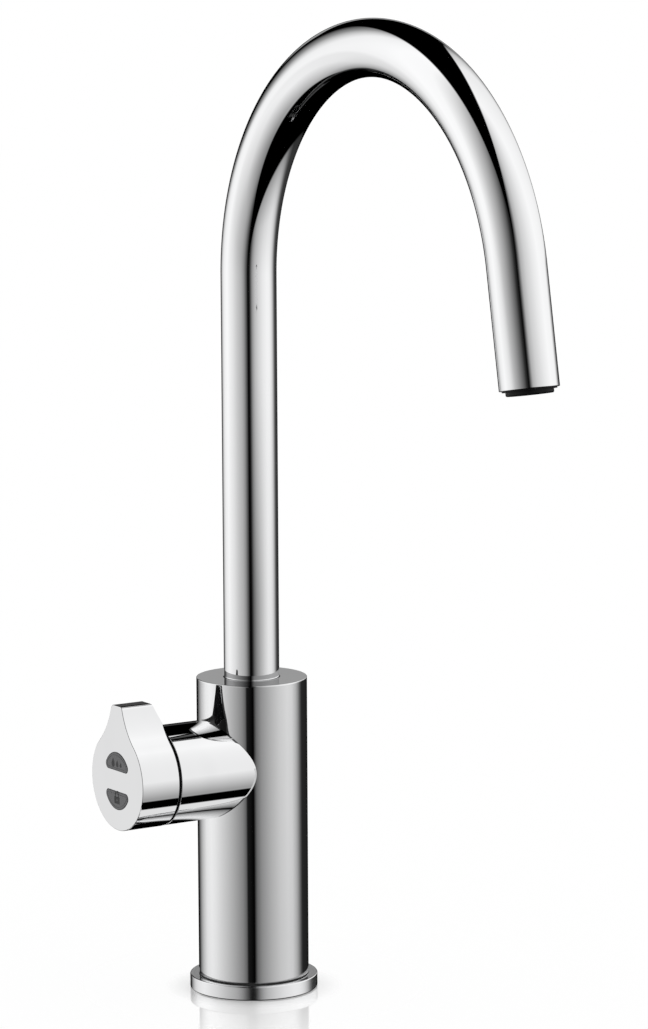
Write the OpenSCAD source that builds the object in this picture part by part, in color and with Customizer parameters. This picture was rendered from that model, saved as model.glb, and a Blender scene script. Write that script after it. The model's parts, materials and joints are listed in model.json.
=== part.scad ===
// Boiling water tap: a swivelling gooseneck spout on a straight round body, with a
// teardrop side handle that turns a ceramic cartridge and carries two push buttons.
// Millimetres. The origin is the middle of the underside, on the worktop. +Z is up,
// the spout reaches towards -Y and the side arm points towards -X.

/* [Base] */
// Diameter of the round base flange
flange_d = 58; // [56:0.2:64]
// Height of the base flange
flange_h = 6.4; // [5:0.1:8]

/* [Body] */
// Diameter of the body
body_d = 50; // [49:0.5:52]
// Height of the body's flat top above the worktop
body_top = 143.3; // [140:0.1:160]
// Wall of the plated body shell
shell_wall = 2.8; // [2:0.1:3]

/* [Spout] */
// Outside diameter of the spout pipe
pipe_d = 25; // [24:0.1:25.2]
// Wall of the spout pipe
pipe_wall = 1.5; // [1:0.1:1.5]
// Height at which the gooseneck starts to bend
bend_start = 325.1; // [280:0.1:360]
// Radius of the gooseneck, on the centreline
bend_r = 104.2; // [85:0.2:115]
// Angle that the gooseneck turns through
bend_angle = 169.6; // [160:0.1:180]
// Straight length of pipe after the bend
tail = 49.9; // [40:0.1:70]
// How far the spout swivels each way from the front
swivel_limit = 90; // [45:5:100]

/* [Side arm] */
// Diameter of the side arm
arm_d = 44.6; // [44:0.2:45]
// Height of the side arm's axis
arm_z = 103.3; // [100:0.1:103.5]
// Distance from the body's axis to the end of the arm
arm_end = 50.4; // [50:0.1:54]
// Width of the dark gap between the arm and the handle
gap_w = 1.5; // [1:0.1:2]

/* [Handle] */
// Distance from the body's axis to the handle's front face
handle_front = 70.8; // [70:0.1:76]
// Radius of the round part of the handle
handle_r = 22.4; // [22.2:0.1:23]
// Height of the tip above the arm's axis
tip_h = 34; // [32:0.5:38]
// Radius of the two corners of the tip
tip_r = 2.2; // [1.5:0.1:3]
// Radius of the hollow flanks
flank_r = 34; // [32:0.5:50]
// Angle at which a flank leaves the round part
flank_join = 48.4; // [45:0.1:49]
// Bevel round the handle's edges
handle_bevel = 0.4; // [0.2:0.1:0.6]
// Height above the arm's axis where the back of the tip begins to lean forward
lean_from = 25.7; // [25:0.1:30]
// How far the back of the tip leans forward
lean_depth = 3.2; // [2:0.1:4]

/* [Buttons] */
// Distance from the handle's middle to a button's straight edge
button_flat = 4.8; // [4:0.1:5]
// Distance from the handle's middle to the top of a button's dome
button_peak = 12.9; // [12:0.1:13]
// Radius of a button's dome
button_dome_r = 11; // [10.5:0.1:11.5]
// Radius of a button's corners
button_corner_r = 2; // [1.5:0.1:2.5]
// How far a button travels when it is pressed
button_travel = 0.6; // [0.3:0.1:0.6]
// How far a button stands proud of the face
button_proud = 0.2; // [0:0.05:0.4]

/* [Inlets] */
// Thread core diameter of the three water inlets
inlet_d = 9; // [8:0.1:9]
// Depth of the inlet threads
inlet_depth = 12; // [10:0.5:14]
// Distance of the hot and cold inlets from the middle
inlet_y = 12.2; // [12:0.1:12.5]
// Distance between the two fixing stud holes
stud_spacing = 26; // [25:0.2:27]
// Thread core diameter of the stud holes
stud_d = 5; // [5:0.1:5.2]
// Depth of the stud holes
stud_depth = 14; // [12:0.5:18]

/* [Hidden] */
$fn = 96;
eps = 0.01;             // overlap of shapes that are joined or cut
hair = 0.02;             // a step too small to see, where two pieces become one solid
bushing_gap = 0.06;     // radial running clearance wherever one piece turns in another
body_r = body_d / 2;
shell_r = body_r - shell_wall;
pipe_r = pipe_d / 2;
pipe_bore_r = pipe_r - pipe_wall;

// tap core and the well that the spout turns in
core_r = shell_r - 0.4;
foot_r = 19.8;
foot_h = 2.5;
core_top = body_top - 3.3;
lid_z = core_top + 0.1;
well_r = 11.2;
well_floor = body_top - 23.9;
seat_z = core_top - 5.7;
seat_r = 14.25;
journal_r = well_r - 0.3;
journal_z = well_floor + 1.2;
journal_bore_r = 7;
collar_z = seat_z + 1.1;
pipe_z = collar_z + 1.5;
lower_ring_z = journal_z + 0.4;
lower_ring_h = 2.2;
seal_z = [well_floor + 5.5, well_floor + 8.5];
seal_groove_r = 9.1;
seal_groove_h = 2.4;
stop_z = well_floor + 12.4;
stop_groove_r = 9.3;
stop_groove_h = 3.6;
stop_screw_r = 2.5;
dog_r = 1.5;
dog_reach = 9.6;
dog_margin = asin(dog_r / dog_reach) + 0.5;

// boiling water channel on the swivel axis
hot_tube_r = 3;
hot_tube_bore_r = 2.1;
hot_socket_r = hot_tube_r + bushing_gap;
hot_socket_z = well_floor - 12.6;
hot_tube_z = hot_socket_z + 2;
hot_seal_z = hot_socket_z + 6;
hot_channel_r = 2.4;
channel_r = 2.6;
channel_up = -2;        // height of the hot and cold ports above the arm's axis
channel_y = 6.5;
mixed_y = -7.5;
mixed_up = 7;
lead_r = 2.2;
lead_at = 10;

// gooseneck end
outlet_y = -bend_r + bend_r * cos(bend_angle) - tail * sin(bend_angle);
outlet_z = bend_start + bend_r * sin(bend_angle) + tail * cos(bend_angle);

// valve in the side arm, measured along the arm from the body's axis
arm_r = arm_d / 2;
arm_bore_r = arm_r - 2.3;
socket_r = 14.2;
socket_u = 6;
housing_u = socket_u + 0.3;
barrel_u = 26;
barrel_end = 47;
housing_seal_u = 13.2;
cartridge_u = 20;
cartridge_r = 12.5;
nut_u = 40;
nut_r = 15;
neck_r = 7.9;
neck_end = 47.5;
disc_u = cartridge_u + 1;
fixed_disc_h = 3;
moving_disc_u = disc_u + fixed_disc_h + 0.05;
moving_disc_h = 3;
driver_u = moving_disc_u + moving_disc_h;
driver_h = 3;
cavity_end = driver_u + driver_h + 0.3;
stem_r = 4;
stem_end = 60;
stem_seal_u = 36;

// handle, measured the same way
handle_back = arm_end + gap_w;
face_wall = 2.2;
cavity_u = handle_front - face_wall;
cavity_r = 19.6;
hub_u = handle_back + 1.6;
hub_r = cavity_r - 0.1;
hub_front = 61;
hub_rim = 62.2;
grub_u = 57;
grub_r = 2;
boss_y = 14;
boss_r = 2.9;
board_h = 1.2;
board_r = 17.5;
switch_u = hub_rim + board_h;
switch_y = (button_flat + button_peak) / 2;
membrane_u = 65.7;
membrane_h = 0.6;
flange_u = membrane_u + membrane_h + button_travel + 0.3;
flange_end = cavity_u - 0.1;
window_gap = 0.18;
dome_c = button_peak - button_dome_r;

// where the flanks and the corners of the tip have their centres
flank_x = (handle_r + flank_r) * cos(flank_join);
flank_y = (handle_r + flank_r) * sin(flank_join);
tip_c = tip_h - tip_r;
lean_slope = lean_depth / (tip_h - lean_from);
tip_x = flank_x - sqrt(pow(flank_r + tip_r, 2) - pow(flank_y - tip_c, 2));

// ---------- shared shapes ----------

// A ring between two radii
module ring(outer, inner, h) {
    difference() {
        cylinder(r = outer, h = h);
        translate([0, 0, -1]) cylinder(r = inner, h = h + 2);
    }
}

// A round-section sealing ring
module o_ring(centre_r, section_r) {
    rotate_extrude() translate([centre_r, 0]) circle(r = section_r, $fn = 32);
}

// Places children on the side arm's axis: local z points out along the arm, local x up
module on_arm(u = 0) {
    translate([-u, 0, arm_z]) rotate([0, -90, 0]) children();
}

// Places children at the spout's end: local z points the way the water leaves
module at_outlet() {
    translate([0, outlet_y, outlet_z]) rotate([bend_angle, 0, 0]) children();
}

// A pipe along the spout's centreline, from a start height to beyond or short of its end.
// The straight end is a hair thicker and grips the bend, so that the two are one solid.
module along_spout(outer, inner, from_z, past_end, bevel) {
    grip = 0.5;
    end = tail + grip + past_end;
    translate([0, 0, from_z]) ring(outer, inner, bend_start - from_z);
    translate([0, -bend_r, bend_start]) rotate([90, 0, 90])
        rotate_extrude(angle = bend_angle) translate([bend_r, 0]) difference() {
            circle(r = outer);
            circle(r = inner);
        }
    at_outlet() translate([0, 0, -tail - grip]) rotate_extrude() polygon([
        [inner - hair, 0], [outer + hair, 0], [outer + hair, end - bevel],
        [outer + hair - bevel, end], [inner - hair, end]
    ]);
}

// Points on an arc
function arc(c, r, from, to, steps) = [
    for (i = [0 : steps]) let (t = from + (to - from) * i / steps) c + r * [cos(t), sin(t)]
];

// Half-moon outline of a button, grown by a margin, domed towards +x
function half_moon(grow) = let (
        r = button_corner_r + grow,
        reach = button_dome_r - button_corner_r,
        low = button_flat + button_corner_r,
        side = sqrt(pow(reach, 2) - pow(low - dome_c, 2)),
        lean = atan2(side, low - dome_c)
    ) concat(
        arc([low, -side], r, -180, -lean, 8),
        arc([dome_c, 0], button_dome_r + grow, -lean, lean, 28),
        arc([low, side], r, lean, 180, 8)
    );

// A plate with the half-moon outline
module moon_plate(grow, h) {
    linear_extrude(h) polygon(half_moon(grow));
}

// Places children over the upper button (side = 1) or the lower one (side = -1)
module at_button(side) {
    rotate([0, 0, side > 0 ? 0 : 180]) children();
}

// ---------- base and body ----------

module base_flange() {
    color("silver") rotate_extrude() polygon([
        [foot_r + 0.15, 0.2], [foot_r + 0.35, 0], [24, 0], [24, 1.6], [27.4, 1.6], [27.4, 0],
        [flange_d / 2 - 0.5, 0], [flange_d / 2, 0.5], [flange_d / 2, flange_h - 0.5],
        [flange_d / 2 - 0.5, flange_h], [core_r + 0.15, flange_h], [core_r + 0.15, foot_h],
        [foot_r + 0.15, foot_h]
    ]);
}

module base_seal() {
    color("black") ring(27.35, 24.05, 1.55);
}

// Water channels drilled through the core: inlet, riser, cross drilling and port
module core_channels() {
    for (side = [-1, 1]) {
        translate([0, side * inlet_y, -1]) cylinder(d = inlet_d, h = inlet_depth + 1);
        translate([0, side * inlet_y, 0]) cylinder(r = channel_r, h = arm_z + channel_up);
        translate([0, side * inlet_y, arm_z + channel_up]) sphere(r = channel_r);
        translate([0, side * inlet_y, arm_z + channel_up]) rotate([side * 90, 0, 0])
            cylinder(r = channel_r, h = inlet_y - channel_y);
        translate([0, side * channel_y, arm_z + channel_up]) sphere(r = channel_r);
        translate([0, side * channel_y, arm_z + channel_up]) rotate([0, -90, 0])
            cylinder(r = channel_r, h = socket_u + 1);
    }
    translate([0, mixed_y, arm_z + mixed_up]) rotate([0, -90, 0])
        cylinder(r = hot_channel_r, h = socket_u + 1);
    translate([0, mixed_y, arm_z + mixed_up]) sphere(r = hot_channel_r);
    translate([0, mixed_y, arm_z + mixed_up])
        cylinder(r = hot_channel_r, h = well_floor + 1 - arm_z - mixed_up);
    translate([0, 0, -1]) cylinder(d = inlet_d, h = inlet_depth + 1);
    cylinder(r = hot_channel_r, h = well_floor + 1);
    translate([0, 0, hot_socket_z]) cylinder(r = hot_socket_r, h = well_floor + 1 - hot_socket_z);
    translate([0, 0, hot_seal_z - 1.1]) cylinder(r = 4.5, h = 2.2);
}

module tap_core() {
    color("goldenrod") difference() {
        union() {
            cylinder(r = foot_r, h = core_top);
            translate([0, 0, foot_h]) cylinder(r = core_r, h = core_top - foot_h);
        }
        translate([0, 0, well_floor]) cylinder(r = well_r, h = core_top);
        translate([0, 0, seat_z]) cylinder(r = seat_r, h = core_top);
        on_arm(socket_u) cylinder(r = socket_r, h = core_r);
        core_channels();
        for (side = [-1, 1])
            translate([side * stud_spacing / 2, 0, -1]) cylinder(d = stud_d, h = stud_depth + 1);
        translate([-lead_at, lead_at, -1]) cylinder(r = lead_r, h = arm_z - 8);
        translate([0, well_r - 1, stop_z]) rotate([-90, 0, 0])
            cylinder(r = stop_screw_r, h = core_r);
    }
}

module body_shell() {
    color("silver") difference() {
        rotate_extrude() polygon([
            [shell_r, flange_h], [body_r - 0.6, flange_h], [body_r, flange_h + 0.6],
            [body_r, body_top - 0.3], [body_r - 0.3, body_top],
            [pipe_r + 0.45, body_top], [pipe_r + 0.35, body_top - 0.1],
            [pipe_r + 0.35, lid_z], [shell_r, lid_z]
        ]);
        on_arm(barrel_u / 2) cylinder(r = socket_r + 0.3, h = barrel_u);
        translate([0, shell_r - 2, stop_z]) rotate([-90, 0, 0])
            cylinder(r = stop_screw_r + 0.1, h = shell_wall + 4);
    }
}

module lead_grommet() {
    color("dimgray") translate([-lead_at, lead_at, 0.2]) difference() {
        cylinder(r = lead_r - 0.02, h = 6);
        translate([0, 0, -1]) cylinder(r = 1.3, h = 8);
    }
}

// ---------- swivel joint ----------

module upper_swivel_bearing() {
    color("white") translate([0, 0, seat_z]) rotate_extrude() polygon([
        [well_r + 0.2, 0], [seat_r - 0.03, 0], [seat_r - 0.03, 5.5], [pipe_r + bushing_gap, 5.5],
        [pipe_r + bushing_gap, 1], [well_r + 0.2, 1]
    ]);
}

module boiling_tube_seal() {
    color("black") translate([0, 0, hot_seal_z]) o_ring(3.75, 0.7);
}

module swivel_stop_screw() {
    color("dimgray") translate([0, 0, stop_z]) rotate([-90, 0, 0]) difference() {
        union() {
            translate([0, 0, dog_reach]) cylinder(r = dog_r, h = 4);
            translate([0, 0, well_r + 0.6]) cylinder(r = stop_screw_r - 0.05, h = 8);
        }
        translate([0, 0, well_r + 5.8]) cylinder(r = 1.45, h = 4, $fn = 6);
    }
}

module spout_journal() {
    color("goldenrod") difference() {
        union() {
            translate([0, 0, journal_z]) cylinder(r = journal_r, h = collar_z - journal_z + eps);
            translate([0, 0, collar_z]) cylinder(r = pipe_r - 0.05, h = pipe_z - collar_z);
            translate([0, 0, pipe_z - eps]) cylinder(r = pipe_bore_r - 0.05, h = 14);
        }
        translate([0, 0, journal_z - 1]) cylinder(r = journal_bore_r, h = 40);
        translate([0, 0, lower_ring_z]) ring(journal_r + 1, journal_r - 1, lower_ring_h);
        for (z = seal_z)
            translate([0, 0, z - seal_groove_h / 2])
                ring(journal_r + 1, seal_groove_r, seal_groove_h);
        // the stop groove runs round the back only, so its two ends are the swivel's stops
        translate([0, 0, stop_z - stop_groove_h / 2])
            rotate([0, 0, 90 - swivel_limit - dog_margin])
                rotate_extrude(angle = 2 * (swivel_limit + dog_margin))
                    translate([stop_groove_r, 0]) square([3, stop_groove_h]);
    }
}

module lower_swivel_bearing() {
    color("white") translate([0, 0, lower_ring_z + 0.05]) difference() {
        ring(well_r - bushing_gap, journal_r - 0.95, lower_ring_h - 0.1);
        // the ring is split so that it springs into its groove
        translate([0, -0.3, -1]) cube([well_r + 1, 0.6, lower_ring_h + 2]);
    }
}

module spout_seals() {
    color("black") for (z = seal_z) translate([0, 0, z]) o_ring(10.13, 1);
}

// ---------- spout ----------

module spout_tube() {
    color("silver") along_spout(pipe_r, pipe_bore_r, pipe_z, 0, 0.25);
}

module boiling_water_tube() {
    color("lightgray") along_spout(hot_tube_r, hot_tube_bore_r, hot_tube_z, -0.4, 0.1);
}

module nozzle_holder() {
    color("goldenrod") at_outlet() translate([0, 0, -16]) ring(pipe_bore_r - 0.05, 9.4, 15);
}

module nozzle_seal() {
    color("black") at_outlet() translate([0, 0, -8]) o_ring(8.82, 0.5);
}

module outlet_insert() {
    color("black") at_outlet() difference() {
        union() {
            translate([0, 0, -13]) cylinder(r = 9.3, h = 13.2);
            cylinder(r = 11.4, h = 0.55);
            cylinder(r = 9.95, h = 1.95);
            translate([0, 0, 1.95]) cylinder(r1 = 9.95, r2 = 9.6, h = 0.35);
        }
        translate([0, 0, -11]) cylinder(r = 7.6, h = 20);
        translate([0, 0, -8.6]) ring(10, 8.3, 1.2);
        translate([0, 0, -14]) cylinder(r = hot_tube_r + 0.05, h = 4);
        for (i = [0 : 5]) rotate([0, 0, 60 * i]) translate([5.3, 0, -14]) cylinder(r = 1.5, h = 4);
    }
}

// Rings of fine holes lay the mixed water down as one smooth stream round the boiling outlet
module flow_straightener() {
    color("gray") at_outlet() translate([0, 0, -2.6]) difference() {
        cylinder(r = 7.55, h = 2);
        translate([0, 0, -1]) cylinder(r = hot_tube_r + 0.05, h = 4);
        for (k = [0 : 1]) {
            count = 14 + 6 * k;
            for (i = [0 : count - 1])
                rotate([0, 0, 360 * i / count]) translate([4.4 + 1.8 * k, 0, -1])
                    cylinder(r = 0.6, h = 4, $fn = 24);
        }
    }
}

// ---------- side arm and valve ----------

module side_arm() {
    color("silver") difference() {
        on_arm() rotate_extrude() polygon([
            [arm_bore_r, 0], [arm_r, 0], [arm_r, arm_end - 0.25], [arm_r - 0.25, arm_end],
            [arm_bore_r, arm_end]
        ]);
        cylinder(r = body_r + 0.12, h = body_top + 10);
    }
}

module valve_housing() {
    color("goldenrod") on_arm() difference() {
        union() {
            translate([0, 0, housing_u]) cylinder(r = socket_r - 0.05, h = barrel_u - housing_u + eps);
            translate([0, 0, barrel_u]) cylinder(r = arm_bore_r - 0.1, h = barrel_end - barrel_u);
        }
        translate([0, 0, cartridge_u]) cylinder(r = cartridge_r + 0.05, h = barrel_end);
        translate([0, 0, nut_u]) cylinder(r = nut_r, h = barrel_end);
        translate([0, 0, housing_seal_u - 1.2]) ring(socket_r + 1, socket_r - 1.9, 2.4);
        valve_ports(housing_u - 1, cartridge_u + 1);
        // slot for the signal lead of the buttons
        rotate([0, 0, 135]) translate([socket_r - 2, -1.6, housing_u - 1])
            cube([10, 3.2, barrel_end]);
    }
}

// The cold, hot and mixed water ports, from one place along the arm to another
module valve_ports(from, to) {
    for (side = [-1, 1])
        translate([channel_up, side * channel_y, from]) cylinder(r = hot_channel_r, h = to - from);
    translate([mixed_up, mixed_y, from]) cylinder(r = hot_channel_r, h = to - from);
}

module housing_seal() {
    color("black") on_arm(housing_seal_u) difference() {
        o_ring(13.28, 0.9);
        rotate([0, 0, 135]) translate([socket_r - 2.1, -1.7, -2]) cube([10, 3.4, 4]);
    }
}

module valve_cartridge() {
    color("ivory") on_arm() difference() {
        union() {
            translate([0, 0, cartridge_u + 0.85])
                cylinder(r = cartridge_r, h = nut_u - cartridge_u - 0.85);
            cylinder(r = neck_r, h = neck_end);
        }
        cylinder(r = 10.6, h = cavity_end);
        cylinder(r = stem_r + bushing_gap, h = neck_end + 1);
        translate([0, 0, stem_seal_u - 1]) cylinder(r = 5.6, h = 2);
    }
}

module cartridge_seal() {
    color("black") on_arm() difference() {
        translate([0, 0, cartridge_u]) cylinder(r = 11.5, h = 0.8);
        valve_ports(cartridge_u - 1, cartridge_u + 3);
    }
}

module fixed_ceramic_disc() {
    color("white") on_arm() difference() {
        translate([0, 0, disc_u]) cylinder(r = 10.5, h = fixed_disc_h);
        valve_ports(disc_u - 1, disc_u + fixed_disc_h + 1);
    }
}

module spindle_seal() {
    color("black") on_arm(stem_seal_u) o_ring(4.82, 0.75);
}

module cartridge_nut() {
    color("goldenrod") on_arm(nut_u + 0.05) difference() {
        ring(nut_r - 0.05, neck_r + 0.1, 6);
        // two slots for the pin spanner
        for (side = [-1, 1])
            translate([side * nut_r - 2.5, -1.5, 3]) cube([5, 3, 5]);
    }
}

module arm_spacer_ring() {
    color("black") on_arm() difference() {
        union() {
            translate([0, 0, barrel_end + 0.1]) cylinder(r = arm_bore_r - 0.05, h = 4);
            translate([0, 0, arm_end]) cylinder(r = arm_r - 1.1, h = gap_w - 0.3);
        }
        cylinder(r = 10, h = 90);
    }
}

// ---------- handle ----------

// The teardrop: a disc, a web between two hollow flanks and two rounded corners.
// All of its front edge is bevelled.
module teardrop(from, to, bevel) {
    straight = to - from - bevel;
    translate([0, 0, from]) {
        cylinder(r = handle_r, h = straight);
        translate([0, 0, straight]) cylinder(r1 = handle_r, r2 = handle_r - bevel, h = bevel);
        for (side = [-1, 1]) translate([tip_c, side * tip_x, 0]) rotate([0, 0, 180]) {
            cylinder(r = tip_r, h = straight);
            translate([0, 0, straight]) cylinder(r1 = tip_r, r2 = tip_r - bevel, h = bevel);
        }
        difference() {
            rotate([90, 0, 0]) linear_extrude(2 * flank_x, center = true) polygon([
                [0, 0], [tip_h, 0], [tip_h, straight], [tip_h - bevel, straight + bevel],
                [0, straight + bevel]
            ]);
            for (side = [-1, 1]) {
                translate([flank_y, side * flank_x, -1]) cylinder(r = flank_r, h = straight + 1);
                translate([flank_y, side * flank_x, straight - eps])
                    cylinder(r1 = flank_r, r2 = flank_r + bevel + eps, h = bevel + 2 * eps);
                // everything beyond the tangent lines is cut away
                translate([0, 0, -1]) linear_extrude(to) polygon([
                    [0, 0], side * handle_r * [side * sin(flank_join), cos(flank_join)],
                    [tip_c, side * (tip_x + tip_r + 0.5)], [tip_c, side * tip_x],
                    [tip_h + 1, side * tip_x], [tip_h + 1, side * 80], [-1, side * 80]
                ]);
            }
        }
    }
}

module handle_shell() {
    color("silver") on_arm() difference() {
        teardrop(handle_back, handle_front, handle_bevel);
        difference() {
            translate([0, 0, handle_back - 1]) cylinder(r = cavity_r, h = cavity_u - handle_back + 1);
            for (side = [-1, 1])
                translate([0, side * boss_y, hub_front + 0.1]) cylinder(r = boss_r, h = 20);
        }
        for (side = [-1, 1]) {
            translate([0, side * boss_y, hub_front]) cylinder(r = 1.25, h = 6);
            at_button(side) translate([0, 0, cavity_u - 1]) moon_plate(window_gap, face_wall + 2);
        }
        // the back of the tip leans forward, so that fingers reach behind it
        rotate([90, 0, 0]) linear_extrude(4 * tip_h, center = true) polygon([
            [lean_from - 3, handle_back - 3 * lean_slope],
            [tip_h + 3, handle_back + lean_depth + 3 * lean_slope],
            [tip_h + 3, handle_back - 3], [lean_from - 3, handle_back - 3]
        ]);
        // opening for the hex key, underneath
        translate([0, 0, grub_u]) rotate([0, -90, 0]) cylinder(r = 1.5, h = handle_r + 1);
    }
}

module handle_hub() {
    color("darkgray") on_arm() difference() {
        translate([0, 0, hub_u]) cylinder(r = hub_r, h = hub_rim - hub_u);
        translate([0, 0, hub_front]) cylinder(r = 16.9, h = 5);
        cylinder(r = stem_r + 0.05, h = 90);
        translate([0, 0, grub_u]) rotate([0, -90, 0]) cylinder(r = grub_r, h = hub_r + 1);
        for (side = [-1, 1]) translate([0, side * boss_y, hub_u]) {
            translate([0, 0, -1]) cylinder(r = 1.35, h = 20);
            translate([0, 0, -eps]) cylinder(r1 = 2.45, r2 = 1.35, h = 1.3);
        }
        // way through for the signal lead
        rotate([0, 0, 135]) translate([11.5, 0, 0]) cylinder(r = 1.8, h = 90);
    }
}

module hub_screws() {
    color("dimgray") on_arm() for (side = [-1, 1])
        translate([0, side * boss_y, hub_u]) difference() {
            union() {
                cylinder(r1 = 2.35, r2 = 1.2, h = 1.25);
                cylinder(r = 1.2, h = 13);
            }
            translate([0, 0, -1]) cylinder(r = 0.8, h = 1.8, $fn = 6);
        }
}

module handle_grub_screw() {
    color("dimgray") on_arm() translate([0, 0, grub_u]) rotate([0, -90, 0]) difference() {
        translate([0, 0, stem_r - 0.35]) cylinder(r = grub_r - 0.05, h = 7);
        translate([0, 0, stem_r + 4.2]) cylinder(r = 1.15, h = 4, $fn = 6);
    }
}

module valve_spindle() {
    color("gainsboro") on_arm() difference() {
        union() {
            translate([0, 0, driver_u + 0.05]) cylinder(r = 9.5, h = driver_h - 0.05);
            translate([0, 0, driver_u + 1]) cylinder(r = stem_r, h = stem_end - driver_u - 1);
        }
        // flat under the grub screw
        translate([-stem_r - 1, -stem_r, grub_u - 4]) cube([1.4, 2 * stem_r, 10]);
    }
}

module moving_ceramic_disc() {
    color("whitesmoke") on_arm() difference() {
        translate([0, 0, moving_disc_u]) cylinder(r = 10.3, h = moving_disc_h);
        // the pocket that joins the ports as the disc turns
        translate([0, 0, moving_disc_u - 1]) rotate([0, 0, -60]) rotate_extrude(angle = 120)
            translate([4, 0]) square([4.6, 2.5]);
    }
}

module switch_board() {
    color("green") on_arm() difference() {
        translate([0, 0, hub_rim]) cylinder(r = board_r, h = board_h);
        for (side = [-1, 1])
            translate([0, side * boss_y, hub_rim - 1]) cylinder(r = boss_r + 0.3, h = 4);
        rotate([0, 0, 135]) translate([11.5, 0, hub_rim - 1]) cylinder(r = 1.5, h = 4);
    }
}

module tact_switches() {
    color("dimgray") on_arm() for (side = [-1, 1])
        translate([side * switch_y, 0, switch_u]) {
            translate([-3, -3, 0]) cube([6, 6, 1.5]);
            cylinder(r = 1.7, h = 2);
        }
}

module button_membrane() {
    color("lightgray") on_arm() difference() {
        translate([0, 0, switch_u]) cylinder(r = 17, h = membrane_u + membrane_h - switch_u);
        translate([0, 0, switch_u - 1]) cylinder(r = 15.6, h = membrane_u - switch_u + 1);
        for (side = [-1, 1])
            translate([0, side * boss_y, switch_u - 1]) cylinder(r = boss_r + 0.3, h = 9);
    }
}

// A half-moon key: a retaining flange behind the face, and a window with a fine rim line
module button(side) {
    top = handle_front + button_proud;
    on_arm() at_button(side) difference() {
        union() {
            translate([0, 0, flange_u]) moon_plate(0.9, flange_end - flange_u);
            translate([0, 0, flange_u]) moon_plate(0, top - flange_u - 0.25);
            translate([0, 0, flange_u]) moon_plate(-0.25, top - flange_u);
        }
        translate([0, 0, top - 0.12]) difference() {
            moon_plate(-0.95, 1);
            translate([0, 0, -1]) moon_plate(-1.25, 3);
        }
    }
}

module select_button() {
    color("dimgray") button(1);
}

module safety_button() {
    color("dimgray") button(-1);
}

base_flange();
base_seal();
tap_core();
body_shell();
lead_grommet();
upper_swivel_bearing();
boiling_tube_seal();
swivel_stop_screw();
side_arm();
valve_housing();
housing_seal();
valve_cartridge();
cartridge_seal();
fixed_ceramic_disc();
spindle_seal();
cartridge_nut();
arm_spacer_ring();
spout_tube();
spout_journal();
lower_swivel_bearing();
spout_seals();
boiling_water_tube();
nozzle_holder();
nozzle_seal();
outlet_insert();
flow_straightener();
handle_shell();
handle_hub();
hub_screws();
handle_grub_screw();
valve_spindle();
moving_ceramic_disc();
switch_board();
tact_switches();
button_membrane();
select_button();
safety_button();
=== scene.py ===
# %% [markdown]
# # A boiling water tap in polished plating
# The solids come packed from the CAD source, and this script gives them their looks: the camera, a plain studio,
# and one procedural material for each finish. Plating has almost no colour of its own. What the eye sees is the
# studio, bent by the shape of the metal, so the studio is built with as much care as the tap.

import json
from functools import partial, reduce
from math import atan, atan2, cos, degrees, hypot, pi, radians, sin, sqrt, tan, tau

import bmesh
import bpy
import numpy as np
from mathutils import Matrix, Vector


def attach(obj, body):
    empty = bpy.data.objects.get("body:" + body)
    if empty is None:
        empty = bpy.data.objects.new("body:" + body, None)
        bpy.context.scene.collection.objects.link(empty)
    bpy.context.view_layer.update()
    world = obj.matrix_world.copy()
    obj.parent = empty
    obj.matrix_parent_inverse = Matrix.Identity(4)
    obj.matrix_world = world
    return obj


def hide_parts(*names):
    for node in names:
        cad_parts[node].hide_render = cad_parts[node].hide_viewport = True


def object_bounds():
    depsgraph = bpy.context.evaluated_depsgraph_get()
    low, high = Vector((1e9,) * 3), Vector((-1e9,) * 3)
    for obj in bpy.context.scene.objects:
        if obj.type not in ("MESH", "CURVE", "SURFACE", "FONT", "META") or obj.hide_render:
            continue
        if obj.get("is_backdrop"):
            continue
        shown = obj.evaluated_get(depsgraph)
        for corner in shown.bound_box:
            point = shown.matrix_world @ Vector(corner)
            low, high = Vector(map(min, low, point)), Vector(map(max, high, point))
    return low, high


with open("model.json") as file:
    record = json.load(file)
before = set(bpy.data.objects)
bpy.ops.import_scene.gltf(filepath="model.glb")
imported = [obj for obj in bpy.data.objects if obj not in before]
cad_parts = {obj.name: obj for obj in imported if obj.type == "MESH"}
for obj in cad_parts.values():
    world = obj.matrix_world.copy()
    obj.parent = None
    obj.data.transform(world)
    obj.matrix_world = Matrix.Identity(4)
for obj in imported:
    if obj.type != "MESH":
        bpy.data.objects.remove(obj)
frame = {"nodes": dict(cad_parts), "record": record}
cad_low, cad_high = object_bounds()
MM = 0.001
print("nodes:", len(frame["nodes"]), "box in mm:", [round(v / MM, 1) for v in cad_high - cad_low])

# %% [markdown]
# ## Camera
# The photograph looks at the tap from its front left, a little from above, through a long lens. A camera can be
# placed by hand and turned by eye, but this one stands at a worked-out angle and distance from a point near the
# middle of the tap, so the same numbers also say which way every reflection goes.

# %% Place the camera
PHOTO_HEIGHT = 1029
AZIMUTH, ELEVATION, ROLL = (radians(a) for a in (-32.79, 8.41, -0.3))
DISTANCE = 1.98925
AIM_RIGHT, AIM_UP = 33.08, 216.91
FOCAL_PIXELS = 4426.75
SENSOR = 36

to_camera = Vector((sin(AZIMUTH) * cos(ELEVATION), -cos(AZIMUTH) * cos(ELEVATION), sin(ELEVATION)))
camera_right = Vector((cos(AZIMUTH), sin(AZIMUTH), 0))
aim = camera_right * AIM_RIGHT * MM + Vector((0, 0, AIM_UP * MM))
level_up = to_camera.cross(camera_right)
turn = Matrix((camera_right, level_up, to_camera)).transposed().to_4x4() @ Matrix.Rotation(ROLL, 4, "Z")

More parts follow.
